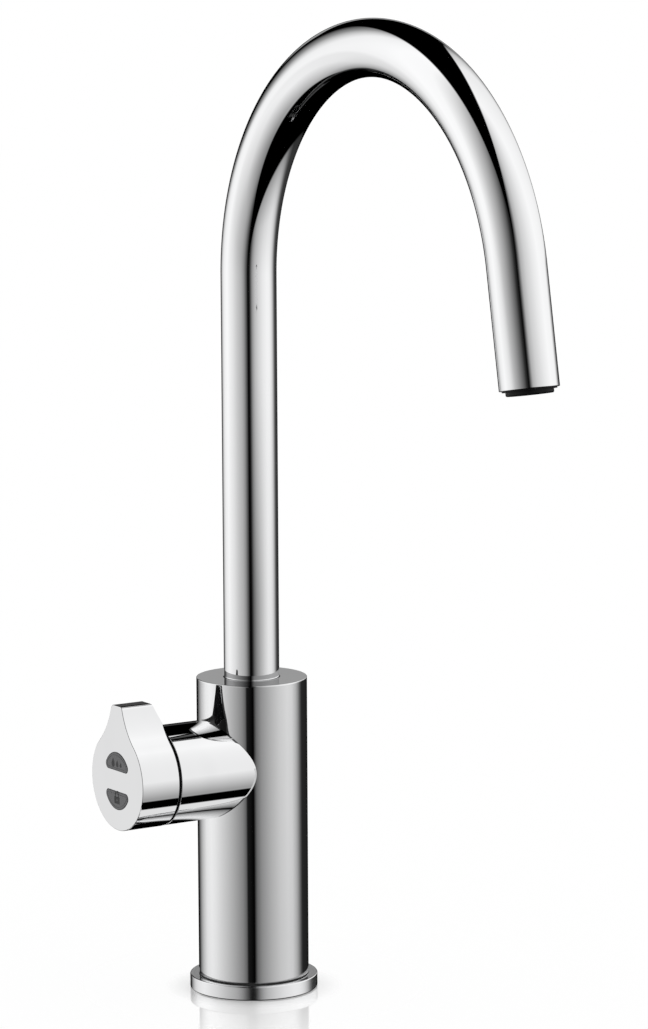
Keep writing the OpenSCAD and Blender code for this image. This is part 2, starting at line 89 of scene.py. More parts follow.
camera_data = bpy.data.cameras.new("camera")
camera_data.sensor_width = SENSOR
camera_data.lens = FOCAL_PIXELS * SENSOR / PHOTO_HEIGHT
camera = bpy.data.objects.new("camera", camera_data)
bpy.context.scene.collection.objects.link(camera)
camera.matrix_world = Matrix.Translation(aim + to_camera * DISTANCE) @ turn
bpy.context.scene.camera = camera
bpy.context.scene.view_settings.view_transform = "Standard"
print("lens:", round(camera_data.lens, 1), "mm, camera at", [round(v, 3) for v in camera.matrix_world.translation])

# %% [markdown]
# ## Small helpers for node trees
# A material or a world is a tree of small sums. Written out node by node it is long and hard to read, so these
# helpers add one node, set its inputs and hand back its output, and a tree reads like a formula.

# %% Node helpers
def feed(tree, socket, value):
    """Sets an input to a plain value, or links it to the output of another node."""
    if isinstance(value, bpy.types.NodeSocket):
        tree.links.new(value, socket)
    else:
        socket.default_value = value


def add(tree, kind, inputs=(), **settings):
    """Adds a node with its settings, and feeds its inputs by name or number."""
    node = tree.nodes.new("ShaderNode" + kind)
    for name, value in settings.items():
        setattr(node, name, value)
    for socket, value in dict(inputs).items():
        feed(tree, node.inputs[socket], value)
    return node


def sums(tree, operation, *values):
    return add(tree, "Math", enumerate(values), operation=operation).outputs[0]


def ramp(tree, value, low, high, to_low=0, to_high=1, smooth=True):
    """Goes from to_low at low to to_high at high, and stays level outside."""
    inputs = {"Value": value, "From Min": low, "From Max": high, "To Min": to_low, "To Max": to_high}
    return add(tree, "MapRange", inputs, interpolation_type="SMOOTHSTEP" if smooth else "LINEAR").outputs[0]


def mixed(tree, share, a, b):
    """A number that goes from a to b with the share."""
    return add(tree, "Mix", {0: share, 2: a, 3: b}, data_type="FLOAT").outputs[0]


def blended(tree, share, a, b):
    """A colour that goes from a to b with the share."""
    return add(tree, "Mix", {0: share, 6: a, 7: b}, data_type="RGBA").outputs[2]


def layered(tree, share, a, b):
    """A shader that goes from a to b with the share."""
    return add(tree, "MixShader", {0: share, 1: a, 2: b}).outputs[0]


def along(tree, vector, axis):
    """How far a vector reaches along an axis."""
    return add(tree, "VectorMath", {0: vector, 1: tuple(axis)}, operation="DOT_PRODUCT").outputs["Value"]


def length(tree, vector):
    return add(tree, "VectorMath", {0: vector}, operation="LENGTH").outputs["Value"]


def bare_material(name):
    """A material with an empty node tree. Returns both."""
    material = bpy.data.materials.new(name)
    material.use_nodes = True
    material.node_tree.nodes.clear()
    return material, material.node_tree


# %% [markdown]
# ## Small helpers for meshes
# Rings of points with quads between them make nearly every piece here, on the stage and on the tap: all that is
# turned, swept or cut. Every size is in millimetres.

# %% Points, faces and objects
UPRIGHT = Matrix.Identity(4)


def arc(radius, start, end, steps, centre=(0, 0)):
    """Points on an arc in even steps, with both ends."""
    turns = [start + (end - start) * k / steps for k in range(steps + 1)]
    return [(centre[0] + radius * cos(t), centre[1] + radius * sin(t)) for t in turns]


def circle(radius, around, centre=(0, 0)):
    return arc(radius, 0, tau, around, centre)[:-1]


def quads_between(rings, around, closed=False):
    """Quads between rings of points, and from the last ring back to the first where they close."""
    return [(k * around + j, k * around + (j + 1) % around,
             (k + 1) % rings * around + (j + 1) % around, (k + 1) % rings * around + j)
            for k in range(rings if closed else rings - 1) for j in range(around)]


def tube_faces(rings, around):
    """Quads between rings of points, with a cap at each end."""
    last = (rings - 1) * around
    return quads_between(rings, around) + [tuple(range(around)), tuple(range(last, last + around))]


def prism(outline, low, high):
    """An outline of (x, y) drawn out from one level to another, as points and faces."""
    return [(x, y, z) for z in (low, high) for x, y in outline], tube_faces(2, len(outline))


def rod(radius, low, high, centre=(0, 0), around=96):
    return prism(circle(radius, around, centre), low, high)


def mesh_object(name, points, faces, place=UPRIGHT, outward=True):
    """A mesh object from points in a local frame. Its faces turn outwards, or stay as they are given."""
    made = bmesh.new()
    corners = [made.verts.new(place @ Vector(p) * MM) for p in points]
    for face in faces:
        made.faces.new([corners[i] for i in face])
    if outward:
        bmesh.ops.recalc_face_normals(made, faces=made.faces)
    data = bpy.data.meshes.new(name)
    made.to_mesh(data)
    made.free()
    item = bpy.data.objects.new(name, data)
    bpy.context.scene.collection.objects.link(item)
    return item


# %% [markdown]
# ## The studio that the plating mirrors
# Polished metal is photographed between large soft boxes with black around them. Here one tall pair stands left and
# right of the camera, and the black gap between them makes the dark line down the middle of every tube. Real cards
# could be modelled as lit planes, but the world does the same with less noise: asked for the colour in a direction,
# it answers with the soft box that stands there. The direction's turn is measured from the camera's side of the tap,
# and its height in degrees above the worktop.

# %% Directions in the studio
world = bpy.data.worlds.new("studio")
bpy.context.scene.world = world
world.use_nodes = True
world.cycles.sampling_method = "NONE"
studio = world.node_tree
studio.nodes.clear()

# The same helpers for the studio's own tree, and the sums that it needs most.
calc, rise, mix = (partial(helper, studio) for helper in (sums, ramp, mixed))
more, less, multiply = (partial(calc, operation) for operation in ("GREATER_THAN", "LESS_THAN", "MULTIPLY"))


def times(*factors):
    return reduce(multiply, factors)


direction = add(studio, "TexCoord").outputs["Generated"]
towards = along(studio, direction, (sin(AZIMUTH), -cos(AZIMUTH), 0))
rightward = along(studio, direction, camera_right)
turn_angle = calc("DEGREES", calc("ARCTAN2", rightward, towards))
height = calc("DEGREES", calc("ARCSINE", along(studio, direction, (0, 0, 1))))
on_right = more(turn_angle, 0)

# %% [markdown]
# The boxes are lit from their outer ends, so they darken to the camera, and their lower part is dimmer. Each row of
# stops gives the brightness at a turn in degrees. One row is for above the tap's middle, one for just below eye
# level, and one for the lowest rays that come off the body.

# %% How the light falls off across the soft boxes
def fall_off(stops):
    """Linear between the stops, and level outside them."""
    node = add(studio, "ValToRGB", {0: rise(turn_angle, -180, 180, smooth=False)})
    elements = node.color_ramp.elements
    elements.remove(elements[1])
    for number, (turned_to, light) in enumerate(stops):
        position = turned_to / 360 + 0.5
        element = elements.new(position) if number else elements[0]
        element.position, element.color = position, (light, light, light, 1)
    return node.outputs[0]


high_light = fall_off([
    (-150, 0), (-135, 0.3), (-120, 0.92), (-105, 1.03), (-90, 1), (-60, 0.56), (-30, 0.21), (-12, 0.03),
    (-3, 0), (1, 0.03), (6, 0.2), (13, 0.46), (30, 0.66), (60, 0.86), (90, 1), (120, 0.96), (150, 0.88),
    (160, 0.6), (168, 0)])
eye_light = fall_off([
    (-157, 0), (-150, 0.15), (-140, 0.52), (-130, 0.8), (-118, 0.94), (-100, 1.02), (-70, 0.82), (-50, 0.62),
    (-30, 0.46), (-20, 0.31), (-12, 0.13), (-4, 0), (4, 0.01), (8, 0.09), (15, 0.31), (25, 0.52), (40, 0.69),
    (60, 0.86), (80, 0.95), (93, 0.94), (105, 0.79), (115, 0.52), (125, 0.18), (134, 0.05), (170, 0.02)])
low_light = fall_off([
    (-155, 0), (-149, 0.07), (-130, 0.5), (-112, 0.82), (-97, 0.89), (-85, 0.83), (-50, 0.52), (-20, 0.24),
    (-13, 0.13), (-10, 0.01), (4, 0), (10, 0.15), (20, 0.28), (40, 0.45), (60, 0.6), (80, 0.69), (92, 0.66),
    (105, 0.45), (120, 0.09), (127, 0.02), (170, 0.01)])

# %% [markdown]
# Each soft box is a flat upright panel, so its top edge is highest straight in front of it and comes down to the
# sides: its height is the arc tangent of a slope times the cosine of the turn from its middle.

# %% Edges of the soft boxes
def between(low, high, soft=1):
    """1 where the height lies between two angles, with soft ends."""
    return times(rise(height, low - soft, low + soft), rise(height, high - soft, high + soft, 1, 0))


def panel_edge(slope, facing):
    """The height in degrees of a flat panel's edge, at the turn of this ray."""
    off_middle = calc("RADIANS", calc("SUBTRACT", turn_angle, facing))
    return calc("DEGREES", calc("ARCTANGENT", times(calc("COSINE", off_middle), slope)))


# The slope of each panel's edge and the turn that it faces, for the left box and the right one.
TOP_EDGES = ((1.8, -78), (4.5, 82))
BOTTOM_EDGES = ((2.3, -78), (1.57, 81))
EDGE_SOFTNESS = 1.8
top_edge = mix(on_right, *(panel_edge(*edge) for edge in TOP_EDGES))
bottom_edge = mix(on_right, *(panel_edge(*edge) for edge in BOTTOM_EDGES))
under_top = rise(calc("SUBTRACT", top_edge, height), -EDGE_SOFTNESS, EDGE_SOFTNESS)
over_bottom = rise(calc("ADD", bottom_edge, height), -EDGE_SOFTNESS, EDGE_SOFTNESS)
inside = times(under_top, over_bottom)
is_upper = rise(height, -3, 3)
print("soft boxes reach", *(round(degrees(atan(slope))) for slope, _ in TOP_EDGES), "degrees up")

# %% [markdown]
# A world has no near and far, but in the real studio the lower pieces see the boxes at other angles. The arm and the
# handle lie close above the worktop: their undersides show the dark foot of the box, and a light stripe where the
# worktop begins. Light Path calls a ray from their fine polish singular, so they get their own answer. The body and
# the foot of the riser see the dimmer lower part of the boxes. Transparent Depth tells them apart, since it counts
# the clear sleeves that a mirrored ray has crossed: two round the riser, four round the body. The white ring over
# the floor can add one, so 2 or 3 means the riser, 4 to 7 the body, and 8 or more the body's image in the floor.

# %% Light on the pipe, on the body and on the pieces close above the worktop
STRIPE_LIGHT = 0.78
light_path = add(studio, "LightPath")
polished_ray = light_path.outputs["Is Singular Ray"]
crossings, bounces = light_path.outputs["Transparent Depth"], light_path.outputs["Ray Depth"]


def crossed(fewest, most):
    """1 for a ray that has crossed from so few to so many clear surfaces."""
    return times(more(crossings, fewest - 0.5), less(crossings, most + 0.5))


def dimmed(low, high, share):
    """A share of the light up to one height, and all of it from another on."""
    return rise(height, low, high, share, 1, False)


off_riser = crossed(2, 3)
at_foot = times(off_riser, rise(height, -9.6, -6.6, 1, 0, False))
foot_light = rise(turn_angle, 0, 75, 0.36, 0.9, False)
dim_left = times(dimmed(-13, -6, 0.9), dimmed(-60, -28, 0.46))
dim_right = times(dimmed(-30, -6, 0.82), dimmed(-57, -30, 0.4), mix(at_foot, 1, foot_light))
under_eye = times(eye_light, mix(on_right, dim_left, dim_right))
on_pipe = times(inside, blended(studio, is_upper, under_eye, high_light))
on_body = times(low_light, rise(height, -14.5, -10.5, 0.95, 1.04, False))

near_dim = mix(on_right, 0.83, dimmed(-34, -1, 0.38))
near_light = times(eye_light, near_dim, between(-38, 90))
worktop_stripe = times(between(-66, -52.3, 0.8), STRIPE_LIGHT)
on_arm = calc("ADD", worktop_stripe, times(inside, blended(studio, is_upper, near_light, high_light)))

# %% [markdown]
# A strip of the pale backdrop, low behind the tap, is what level faces mirror at this glancing angle. Rays from the
# camera and soft bounces meet plain white, so the background is white and a matt colour renders as it is written.
# Only mirrored rays meet the soft boxes and the black around them.
#
# A ray that has met two pieces brings a second reflection. In the photograph these are faint, because the far side
# of the real studio is dim. So each takes a share of its light: the flange in the body, the arm and the handle in
# each other, the body's lid in the riser, and what lies under the arch. The spout's tail in the riser takes one even
# grey, so that no thin line runs down there.

# %% Backdrop strip and the world's output
STRIP_LOW, STRIP_HIGH, STRIP_HALF = 8.6, 16.5, 22
STRIP_LIGHT, STRIP_NEAR = 0.33, 0.06
FLANGE_SHARE, ARM_SHARE, LID_SHARE, ARCH_SHARE, TAIL_LIGHT = 0.3, 0.06, 0.4, 0.1, 0.66
behind = calc("SUBTRACT", 180, calc("ABSOLUTE", turn_angle))
strip = times(rise(behind, STRIP_HALF - 4, STRIP_HALF, 1, 0), between(STRIP_LOW, STRIP_HIGH, 0.8))
strip_light = times(strip, mix(polished_ray, STRIP_LIGHT, STRIP_NEAR))

off_body = times(more(crossings, 3.5), less(height, 0))
body_in_floor = times(more(crossings, 7.5), less(height, 20))
from_body = calc("MAXIMUM", off_body, body_in_floor)
boxes = mix(from_body, mix(polished_ray, on_pipe, on_arm), on_body)

second = more(bounces, 2.5)
flange_in_body = times(crossed(4, 7), more(height, 0), rise(height, 14, 24, 1, 0))
arm_in_handle = times(polished_ray, less(crossings, 5.5))
lid_in_riser = times(off_riser, more(height, 0))
under_arch = times(less(crossings, 7.5), more(calc("ABSOLUTE", height), 30))
for where, share in ((flange_in_body, FLANGE_SHARE), (arm_in_handle, ARM_SHARE),
                     (lid_in_riser, LID_SHARE), (under_arch, ARCH_SHARE)):
    boxes = times(boxes, mix(times(second, where), 1, share))
tail_in_riser = times(crossed(1, 7), between(-30, 0), calc("SUBTRACT", 1, polished_ray))
boxes = mix(times(second, tail_in_riser), boxes, TAIL_LIGHT)

seen = blended(studio, light_path.outputs["Is Glossy Ray"], (1, 1, 1, 1), calc("MAXIMUM", boxes, strip_light))
add(studio, "OutputWorld", {0: add(studio, "Background", {"Color": seen}).outputs[0]})
print("studio nodes:", len(studio.nodes))

# %% [markdown]
# ## Floor
# The tap stands on a white gloss surface. It is nearly invisible, apart from a soft dark line under the flange and a
# mirror image that fades within a few centimetres. The floor is a disc that is mostly its own white for the camera,
# with a share of matt white that takes the shadow, and a gloss that follows Fresnel's law and weakens away from the
# base.

# %% Discs on the stage
FLOOR_GAP = 0.05
SHADOW_SHARE, CONTACT_SHARE, CONTACT_R, OPEN_R = 0.1, 0.8, 30, 42
NEAR_GLOSS, GLOSS_START, GLOSS_END = 1.5, 26, 152


def stage_item(name, points, faces, material, level=0, unseen_by=()):
    """A piece of the studio. It isn't part of the tap."""
    item = mesh_object(name, points, faces, outward=False)
    item.location.z = level * MM
    item.data.materials.append(material)
    for kind in unseen_by:
        setattr(item, "visible_" + kind, False)
    item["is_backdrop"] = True
    return item


def disc(inner, outer, hole_faces=()):
    """A flat ring that faces up, as points and faces."""
    return [(x, y, 0) for r in (outer, inner) for x, y in circle(r, 96)], quads_between(2, 96) + [*hole_faces]


paint, tree = bare_material("gloss_white_surface")
reach = length(tree, add(tree, "TexCoord").outputs["Object"])
fade = ramp(tree, reach, GLOSS_START * MM, GLOSS_END * MM, NEAR_GLOSS, 0, smooth=False)
gloss_share = sums(tree, "MULTIPLY", add(tree, "Fresnel").outputs[0], fade)
contact = ramp(tree, reach, CONTACT_R * MM, OPEN_R * MM, 1 - CONTACT_SHARE, 1 - SHADOW_SHARE)
camera_ray = add(tree, "LightPath").outputs["Is Camera Ray"]
matt = add(tree, "BsdfDiffuse", {"Color": (1, 1, 1, 1)}).outputs[0]
white = add(tree, "Emission", {"Strength": 1}).outputs[0]
gloss = add(tree, "BsdfGlossy", {"Color": (1, 1, 1, 1), "Roughness": 0}).outputs[0]
own_white = layered(tree, sums(tree, "MULTIPLY", camera_ray, contact), matt, white)
with_gloss = layered(tree, sums(tree, "MULTIPLY", camera_ray, gloss_share), own_white, gloss)
add(tree, "OutputMaterial", {0: with_gloss})
filled = disc(1, 6000, hole_faces=[range(96, 192)])
floor = stage_item("floor", *filled, paint, cad_low.z / MM - FLOOR_GAP, ["glossy"])
print("floor at", round(floor.location.z / MM, 2), "mm")

# %% [markdown]
# The floor's gloss has to mirror white, and the metals' level faces the darker backdrop. A white ceiling ring that
# hangs below their height answers the floor alone: only a polished ray that comes from underneath sees it.

# %% Ceiling ring for the floor's gloss
MIRRORED_ONLY = ("camera", "diffuse", "shadow", "transmission", "volume_scatter")
ceiling_white, tree = bare_material("ceiling_white")
from_below = sums(tree, "MULTIPLY", add(tree, "NewGeometry").outputs["Backfacing"],
                  add(tree, "LightPath").outputs["Is Singular Ray"])
one_sided = layered(tree, from_below, add(tree, "BsdfTransparent").outputs[0], add(tree, "Emission").outputs[0])
add(tree, "OutputMaterial", {0: one_sided})
stage_item("ceiling_ring", *disc(80, 1500), ceiling_white, 100, MIRRORED_ONLY)

# %% [markdown]
# The clear sleeves are as thin as air and stand just off the metal. Mirrored rays alone meet them.

# %% Clear sleeves round the body and the riser
SLEEVES = [(r, 6.8, 142.5) for r in (25.6, 25.65, 25.9, 25.95)] + [(r, 143.6, 325) for r in (13.1, 13.2)]
clear, tree = bare_material("clear_sleeve")
add(tree, "OutputMaterial", {0: add(tree, "BsdfTransparent").outputs[0]})
for number, (r, low, high) in enumerate(SLEEVES):
    points = [(x, y, z) for z in (low, high) for x, y in circle(r, 128)]
    stage_item(f"clear_sleeve_{number}", points, quads_between(2, 128), clear, 0, MIRRORED_ONLY)
print("sleeves:", len(SLEEVES))

# %% [markdown]
# ## Effects that several finishes share
# Plating, turned metal and moulded plastic differ in colour, but they share their small faults: a skin that isn't
# quite flat, fine rings from a cutting tool, a grain from the mould. Each effect is a node group, built once, that
# gives only heights and masks. The material decides how much of each it takes.

# %% A builder for groups
def new_group(name, numbers, outputs):
    """A node group that takes a place and some numbers. Returns it with what it is given and what it gives."""
    group = bpy.data.node_groups.new(name, "ShaderNodeTree")
    group.interface.new_socket("Place", in_out="INPUT", socket_type="NodeSocketVector")
    for label, value in numbers.items():
        group.interface.new_socket(label, in_out="INPUT", socket_type="NodeSocketFloat").default_value = value
    for label in outputs:
        group.interface.new_socket(label, in_out="OUTPUT", socket_type="NodeSocketFloat")
    print("group", name, "gives", outputs)
    return group, group.nodes.new("NodeGroupInput").outputs, group.nodes.new("NodeGroupOutput").inputs


def noise(tree, place, scale, detail=2, rough=0.5):
    inputs = {"Vector": place, "Scale": scale, "Detail": detail, "Roughness": rough}
    return add(tree, "TexNoise", inputs).outputs["Fac"]


# %% [markdown]
# **Handled polish.** Plated brass is buffed by hand. Its skin keeps a very shallow waviness, and in use it takes
# faint wipe marks that are only seen as a slight haze.

# %% Group: handled polish
polish, given, gives = new_group("handled polish", {"Wave Size": 60, "Haze Size": 25}, ["Wave Height", "Haze"])
feed(polish, gives["Wave Height"], noise(polish, given["Place"], given["Wave Size"], 1))
stretched = add(polish, "Mapping", {"Vector": given["Place"], "Scale": (1, 1, 0.22)}).outputs[0]
feed(polish, gives["Haze"], ramp(polish, noise(polish, stretched, given["Haze Size"]), 0.45, 0.72))

# %% [markdown]
# **Turning rings.** A lathe tool leaves rings round the axis of a part. The distance from the axis, divided by the
# feed of the tool, gives the rings, and a little noise keeps them from looking printed.

# %% Group: turning rings
turning, given, gives = new_group("turning rings", {"Feed": 0.25 * MM, "Wander": 0.4}, ["Ring Height", "Streaks"])
flat = add(turning, "Mapping", {"Vector": given["Place"], "Scale": (1, 1, 0)}).outputs[0]
travel = sums(turning, "ADD", length(turning, flat), add(turning, "SeparateXYZ", {0: given["Place"]}).outputs["Z"])
wobble = sums(turning, "MULTIPLY", noise(turning, given["Place"], 90), given["Wander"])
turns = sums(turning, "DIVIDE", sums(turning, "MULTIPLY", travel, tau), given["Feed"])
wave = sums(turning, "SINE", sums(turning, "ADD", turns, wobble))
feed(turning, gives["Ring Height"], sums(turning, "MULTIPLY_ADD", wave, 0.5, 0.5))
by_travel = add(turning, "CombineXYZ", {"X": travel}).outputs[0]
feed(turning, gives["Streaks"], noise(turning, by_travel, 2600, 3, 0.6))

# %% [markdown]
# **Moulded grain.** Plastic, rubber and cast zinc copy the spark-eroded or sanded skin of their mould: a fine even
# grain with a slower unevenness below it.

# %% Group: moulded grain
grain, given, gives = new_group("moulded grain", {"Grain Size": 2500, "Flow Size": 120},
                                ["Grain Height", "Flow"])
fine = noise(grain, given["Place"], given["Grain Size"], 2, 0.55)
slow = noise(grain, given["Place"], given["Flow Size"], 3)
feed(grain, gives["Grain Height"], sums(grain, "MULTIPLY_ADD", slow, 0.3, sums(grain, "MULTIPLY", fine, 0.7)))
feed(grain, gives["Flow"], ramp(grain, slow, 0.3, 0.7))

# %% [markdown]
# ## Finishes
# One class starts every material: a Principled shader whose plain numbers sit on its own sockets, the place on the
# part for the textures, and a bump that takes a height. Each finish then adds its own detail.

# %% A start for every material
class Finish:
    """A material with a Principled shader, and short names for what the finishes add to it."""

    def __init__(self, name, colour, roughness, **others):
        self.material = bpy.data.materials.new(name)
        self.material.use_nodes = True
        self.tree = self.material.node_tree
        self.shader = next(n for n in self.tree.nodes if n.type == "BSDF_PRINCIPLED")
        self.place = add(self.tree, "TexCoord").outputs["Object"]
        self.set("Base Color", (*colour, 1))
        self.set("Roughness", roughness)
        for socket, value in others.items():
            self.set(socket.replace("_", " "), value)

    def set(self, socket, value):
        feed(self.tree, self.shader.inputs[socket], value)

    def effect(self, group, **numbers):
        inputs = {"Place": self.place, **{label.replace("_", " "): value for label, value in numbers.items()}}
        return add(self.tree, "Group", inputs, node_tree=group).outputs

    def vary(self, mask, low, high, rough=None, reach=(0, 1)):
        """The colour follows a mask, and so does the roughness, from one end of the mask's reach to the other."""
        self.set("Base Color", blended(self.tree, mask, (*low, 1), (*high, 1)))
        if rough:
            self.set("Roughness", ramp(self.tree, mask, *reach, *rough))

    def bump(self, height, depth):
        """Depth in millimetres."""
        bump = add(self.tree, "Bump", {"Distance": depth * MM, "Height": height})
        self.set("Normal", bump.outputs[0])


# %% [markdown]
# **Mirror plating.** Decorative chrome over nickel is a nearly colourless mirror with a touch of blue. The haze
# raises the roughness by a few hundredths, and the waviness is far below what bends a straight line. The arm and the
# handle are polished a trace finer than the drawn pipe and the turned body.

# %% Mirror plating
def plated(name, smoothest, haziest, wave_size, haze_size):
    finish = Finish(name, (0.93, 0.932, 0.938), smoothest, Metallic=1)
    skin = finish.effect(polish, Wave_Size=wave_size, Haze_Size=haze_size)
    finish.vary(skin["Haze"], (0.94, 0.942, 0.948), (0.915, 0.918, 0.925), (smoothest, haziest))
    finish.bump(skin["Wave Height"], 0.0015)
    return finish


plating = plated("mirror_plating", 0.034, 0.058, 70, 30)
fine_plating = plated("handle_plating", 0.0012, 0.0035, 60, 45)

# %% [markdown]
# **Turned metals.** The flange shows soft, greyer reflections: it is turned on a lathe and plated, and not buffed to
# a mirror. Brass and steel inside are seen through holes, or when a part is looked at alone, and carry the same
# rings. The feed and the depth of the rings are in millimetres.

# %% Turned metals
def lathed(name, colour, roughness, feed_mm, wander, tones, rough, reach, depth):
    """A turned metal: rings in its skin, and streaks in its colour and its roughness."""
    finish = Finish(name, colour, roughness, Metallic=1)
    marks = finish.effect(turning, Feed=feed_mm * MM, Wander=wander)
    finish.vary(marks["Streaks"], *tones, rough, reach)
    finish.bump(marks["Ring Height"], depth)
    return finish


turned = lathed("fine_turned_plating", (0.9, 0.902, 0.91), 0.14, 0.3, 0.6,
                ((0.86, 0.862, 0.87), (0.94, 0.942, 0.95)), (0.1, 0.18), (0.3, 0.7), 0.0006)
brass = lathed("machined_brass", (0.74, 0.58, 0.3), 0.25, 0.35, 0.8,
               ((0.66, 0.5, 0.24), (0.8, 0.64, 0.36)), (0.2, 0.34), (0.25, 0.75), 0.004)
steel = lathed("turned_steel", (0.62, 0.62, 0.62), 0.28, 0.22, 0.5,
               ((0.56, 0.56, 0.57), (0.68, 0.68, 0.69)), (0.22, 0.36), (0.25, 0.75), 0.003)

# %% [markdown]
# **Screw steel and zinc.** The blackened screws and the cast hub carry the grain of a coating and of a die.

# %% Metals with a grain
def grained(name, colour, roughness, grain_size, flow_size, tones, rough, depth, **others):
    """A finish with a grain in its skin, and a slow drift in its colour and its roughness."""
    finish = Finish(name, colour, roughness, **others)
    skin = finish.effect(grain, Grain_Size=grain_size, Flow_Size=flow_size)
    finish.vary(skin["Flow"], *tones, rough)
    finish.bump(skin["Grain Height"], depth)
    return finish


dark_steel = grained("blackened_screw_steel", (0.2, 0.2, 0.21), 0.35, 1800, 200,
                     ((0.14, 0.14, 0.15), (0.3, 0.3, 0.31)), None, 0.006, Metallic=1)
zinc = grained("cast_zinc", (0.55, 0.56, 0.58), 0.42, 1500, 150,
               ((0.48, 0.49, 0.51), (0.62, 0.63, 0.65)), (0.36, 0.5), 0.012, Metallic=1)
print("metals:", [f.material.name for f in (plating, fine_plating, turned, brass, steel, dark_steel, zinc)])

# %% [markdown]
# **Plastics, rubber and ceramic.** Acetal is waxy and satin. The buttons are smoked plastic with a thin clear coat.

# %% Plastics, rubber, ceramic and board
def moulded(name, colour, roughness, grain_size, depth, spread=0.12, **others):
    """A moulded finish, whose colour drifts by a share of itself."""
    tones = [[c * k for c in colour] for k in (1 - spread, 1 + spread)]
    return grained(name, colour, roughness, grain_size, 140, tones, (roughness * 0.9, roughness * 1.12), depth,
                   **others)


black_acetal = moulded("black_acetal", (0.006, 0.006, 0.0065), 0.38, 2200, 0.008, 0.25, Specular_IOR_Level=0.12)
white_acetal = moulded("white_acetal", (0.82, 0.82, 0.79), 0.4, 2200, 0.008, 0.04)
rubber = moulded("seal_rubber", (0.02, 0.02, 0.02), 0.6, 1600, 0.012, 0.2)
silicone = moulded("clear_silicone", (0.52, 0.53, 0.54), 0.45, 1800, 0.006, 0.06)
ceramic = moulded("lapped_ceramic", (0.84, 0.84, 0.82), 0.12, 3000, 0.001, 0.02)
button_skin = moulded("smoked_button", (0.075, 0.075, 0.078), 0.4, 2600, 0.005, Coat_Weight=0.15)
ink = moulded("dark_ink", (0.012, 0.012, 0.013), 0.5, 2600, 0.002, 0.2)
board = moulded("solder_mask", (0.04, 0.19, 0.08), 0.3, 1400, 0.004, 0.3)
print("moulded finishes: 8")

# %% [markdown]
# ## Hand the finishes out
# The record names a material slot for every node. Each slot takes its finish here, so a node can't be missed, and
# the flange is the one node whose turned skin differs from the other plated parts.

# %% Finish of each node
FINISHES = {"chrome": plating, "core_brass": brass, "valve_steel": steel, "zinc": zinc, "seal_rubber": rubber,
            "silicone": silicone, "black_acetal": black_acetal, "white_acetal": white_acetal,
            "button_plastic": button_skin, "ceramic": ceramic, "circuit_board": board, "screw_steel": dark_steel}
for row in frame["record"]["subparts"]:
    node = frame["nodes"][row["node"]]
    finish = turned if row["node"] == "base_flange" else FINISHES[row["material_slot"]]
    node.data.materials.clear()
    node.data.materials.append(finish.material)

# %% [markdown]
# ## Plated pieces with true surfaces
# A mirror shows every facet, so the plated outside pieces are built again here, finer than the solids and to the
# same dimensions. A subdivision modifier could smooth the solids, but it pulls their edges out of place. Each piece
# is turned, swept or drawn from its own few numbers instead. Then every corner of every face gets the normal of the
# true surface, so a reflection runs over it as over the real metal.

# %% Outlines with rounded corners
ARC_STEPS = 4


def rounded(corners):
    """Turns a closed outline of (r, z, radius) corners into sides: (point, point, normal there, normal there)."""
    points = [Vector(c[:2]) for c in corners]
    area = sum(a.x * b.y - b.x * a.y for a, b in zip(points, points[1:] + points[:1]))
    way = 1 if area > 0 else -1
    stations = []
    for i, (corner, (_, _, radius)) in enumerate(zip(points, corners)):
        into = (corner - points[i - 1]).normalized()
        out = (points[(i + 1) % len(points)] - corner).normalized()
        normal_in = Vector((into.y, -into.x)) * way
        normal_out = Vector((out.y, -out.x)) * way
        if radius == 0:
            stations += [(corner, normal_in), (corner, normal_out)]
            continue
        bend = atan2(into.cross(out), into.dot(out))
        hollow = 1 if bend * way > 0 else -1
        start = corner - into * radius * tan(abs(bend) / 2)
        middle = start - normal_in * radius * hollow
        for k in range(ARC_STEPS + 1):
            normal = Matrix.Rotation(bend * k / ARC_STEPS, 2) @ normal_in
            stations.append((middle + normal * radius * hollow, normal))
    return [(a, b, na, nb) for (a, na), (b, nb) in zip(stations, stations[1:] + stations[:1])
            if (a - b).length > 1e-6]


# %% [markdown]
# **Turning.** A turned piece is its outline spun about an axis. The side arm lies on its side, so a frame says where
# the axis starts and how it points: along -X, with the arm's own x pointing up.

# %% Spin an outline about an axis
ARM_Z = 103.3
ON_ARM = Matrix(((0, 0, -1, 0), (0, 1, 0, 0), (1, 0, 0, ARM_Z), (0, 0, 0, 1)))


def spun(sides, around):
    """Rings of points from the outline's stations, and the quads between them."""
    points = [(x, y, a.y) for a, _, _, _ in sides for x, y in circle(a.x, around)]
    return points, quads_between(len(sides), around, closed=True)


# %% [markdown]
# **True normals.** Blender guesses a smooth normal from the faces round a corner. For plating that guess is too
# rough, so a rule gives the exact normal at a point. The guess stays only where the rule doesn't fit the face, as
# inside a hole.

# %% Set exact normals by rule
def read(items, name, width, kind=float):
    values = np.empty(len(items) * width, kind)
    items.foreach_get(name, values)
    return values.reshape(-1, width) if width > 1 else values


def unit(rows):
    return rows / np.maximum(np.linalg.norm(rows, axis=1, keepdims=True), 1e-9)


def dots(a, b):
    """The dot product of each row of a with the same row of b."""
    return np.einsum("ij,ij->i", a, b)


def true_normals(item, rule):
    mesh = item.data
    mesh.shade_smooth()
    mesh.set_sharp_from_angle(angle=radians(28))
    facing = np.repeat(read(mesh.polygons, "normal", 3), read(mesh.polygons, "loop_total", 1, int), axis=0)
    exact = rule(read(mesh.vertices, "co", 3)[read(mesh.loops, "vertex_index", 1, int)] / MM, facing)
    fits = dots(exact, facing) > 0.9
    normals = np.where(fits[:, None], exact, read(mesh.corner_normals, "vector", 3))
    mesh.normals_split_custom_set(normals.tolist())
    print(f"{item.name}: {len(mesh.polygons)} faces, true normals on {fits.mean():.0%} of the corners")


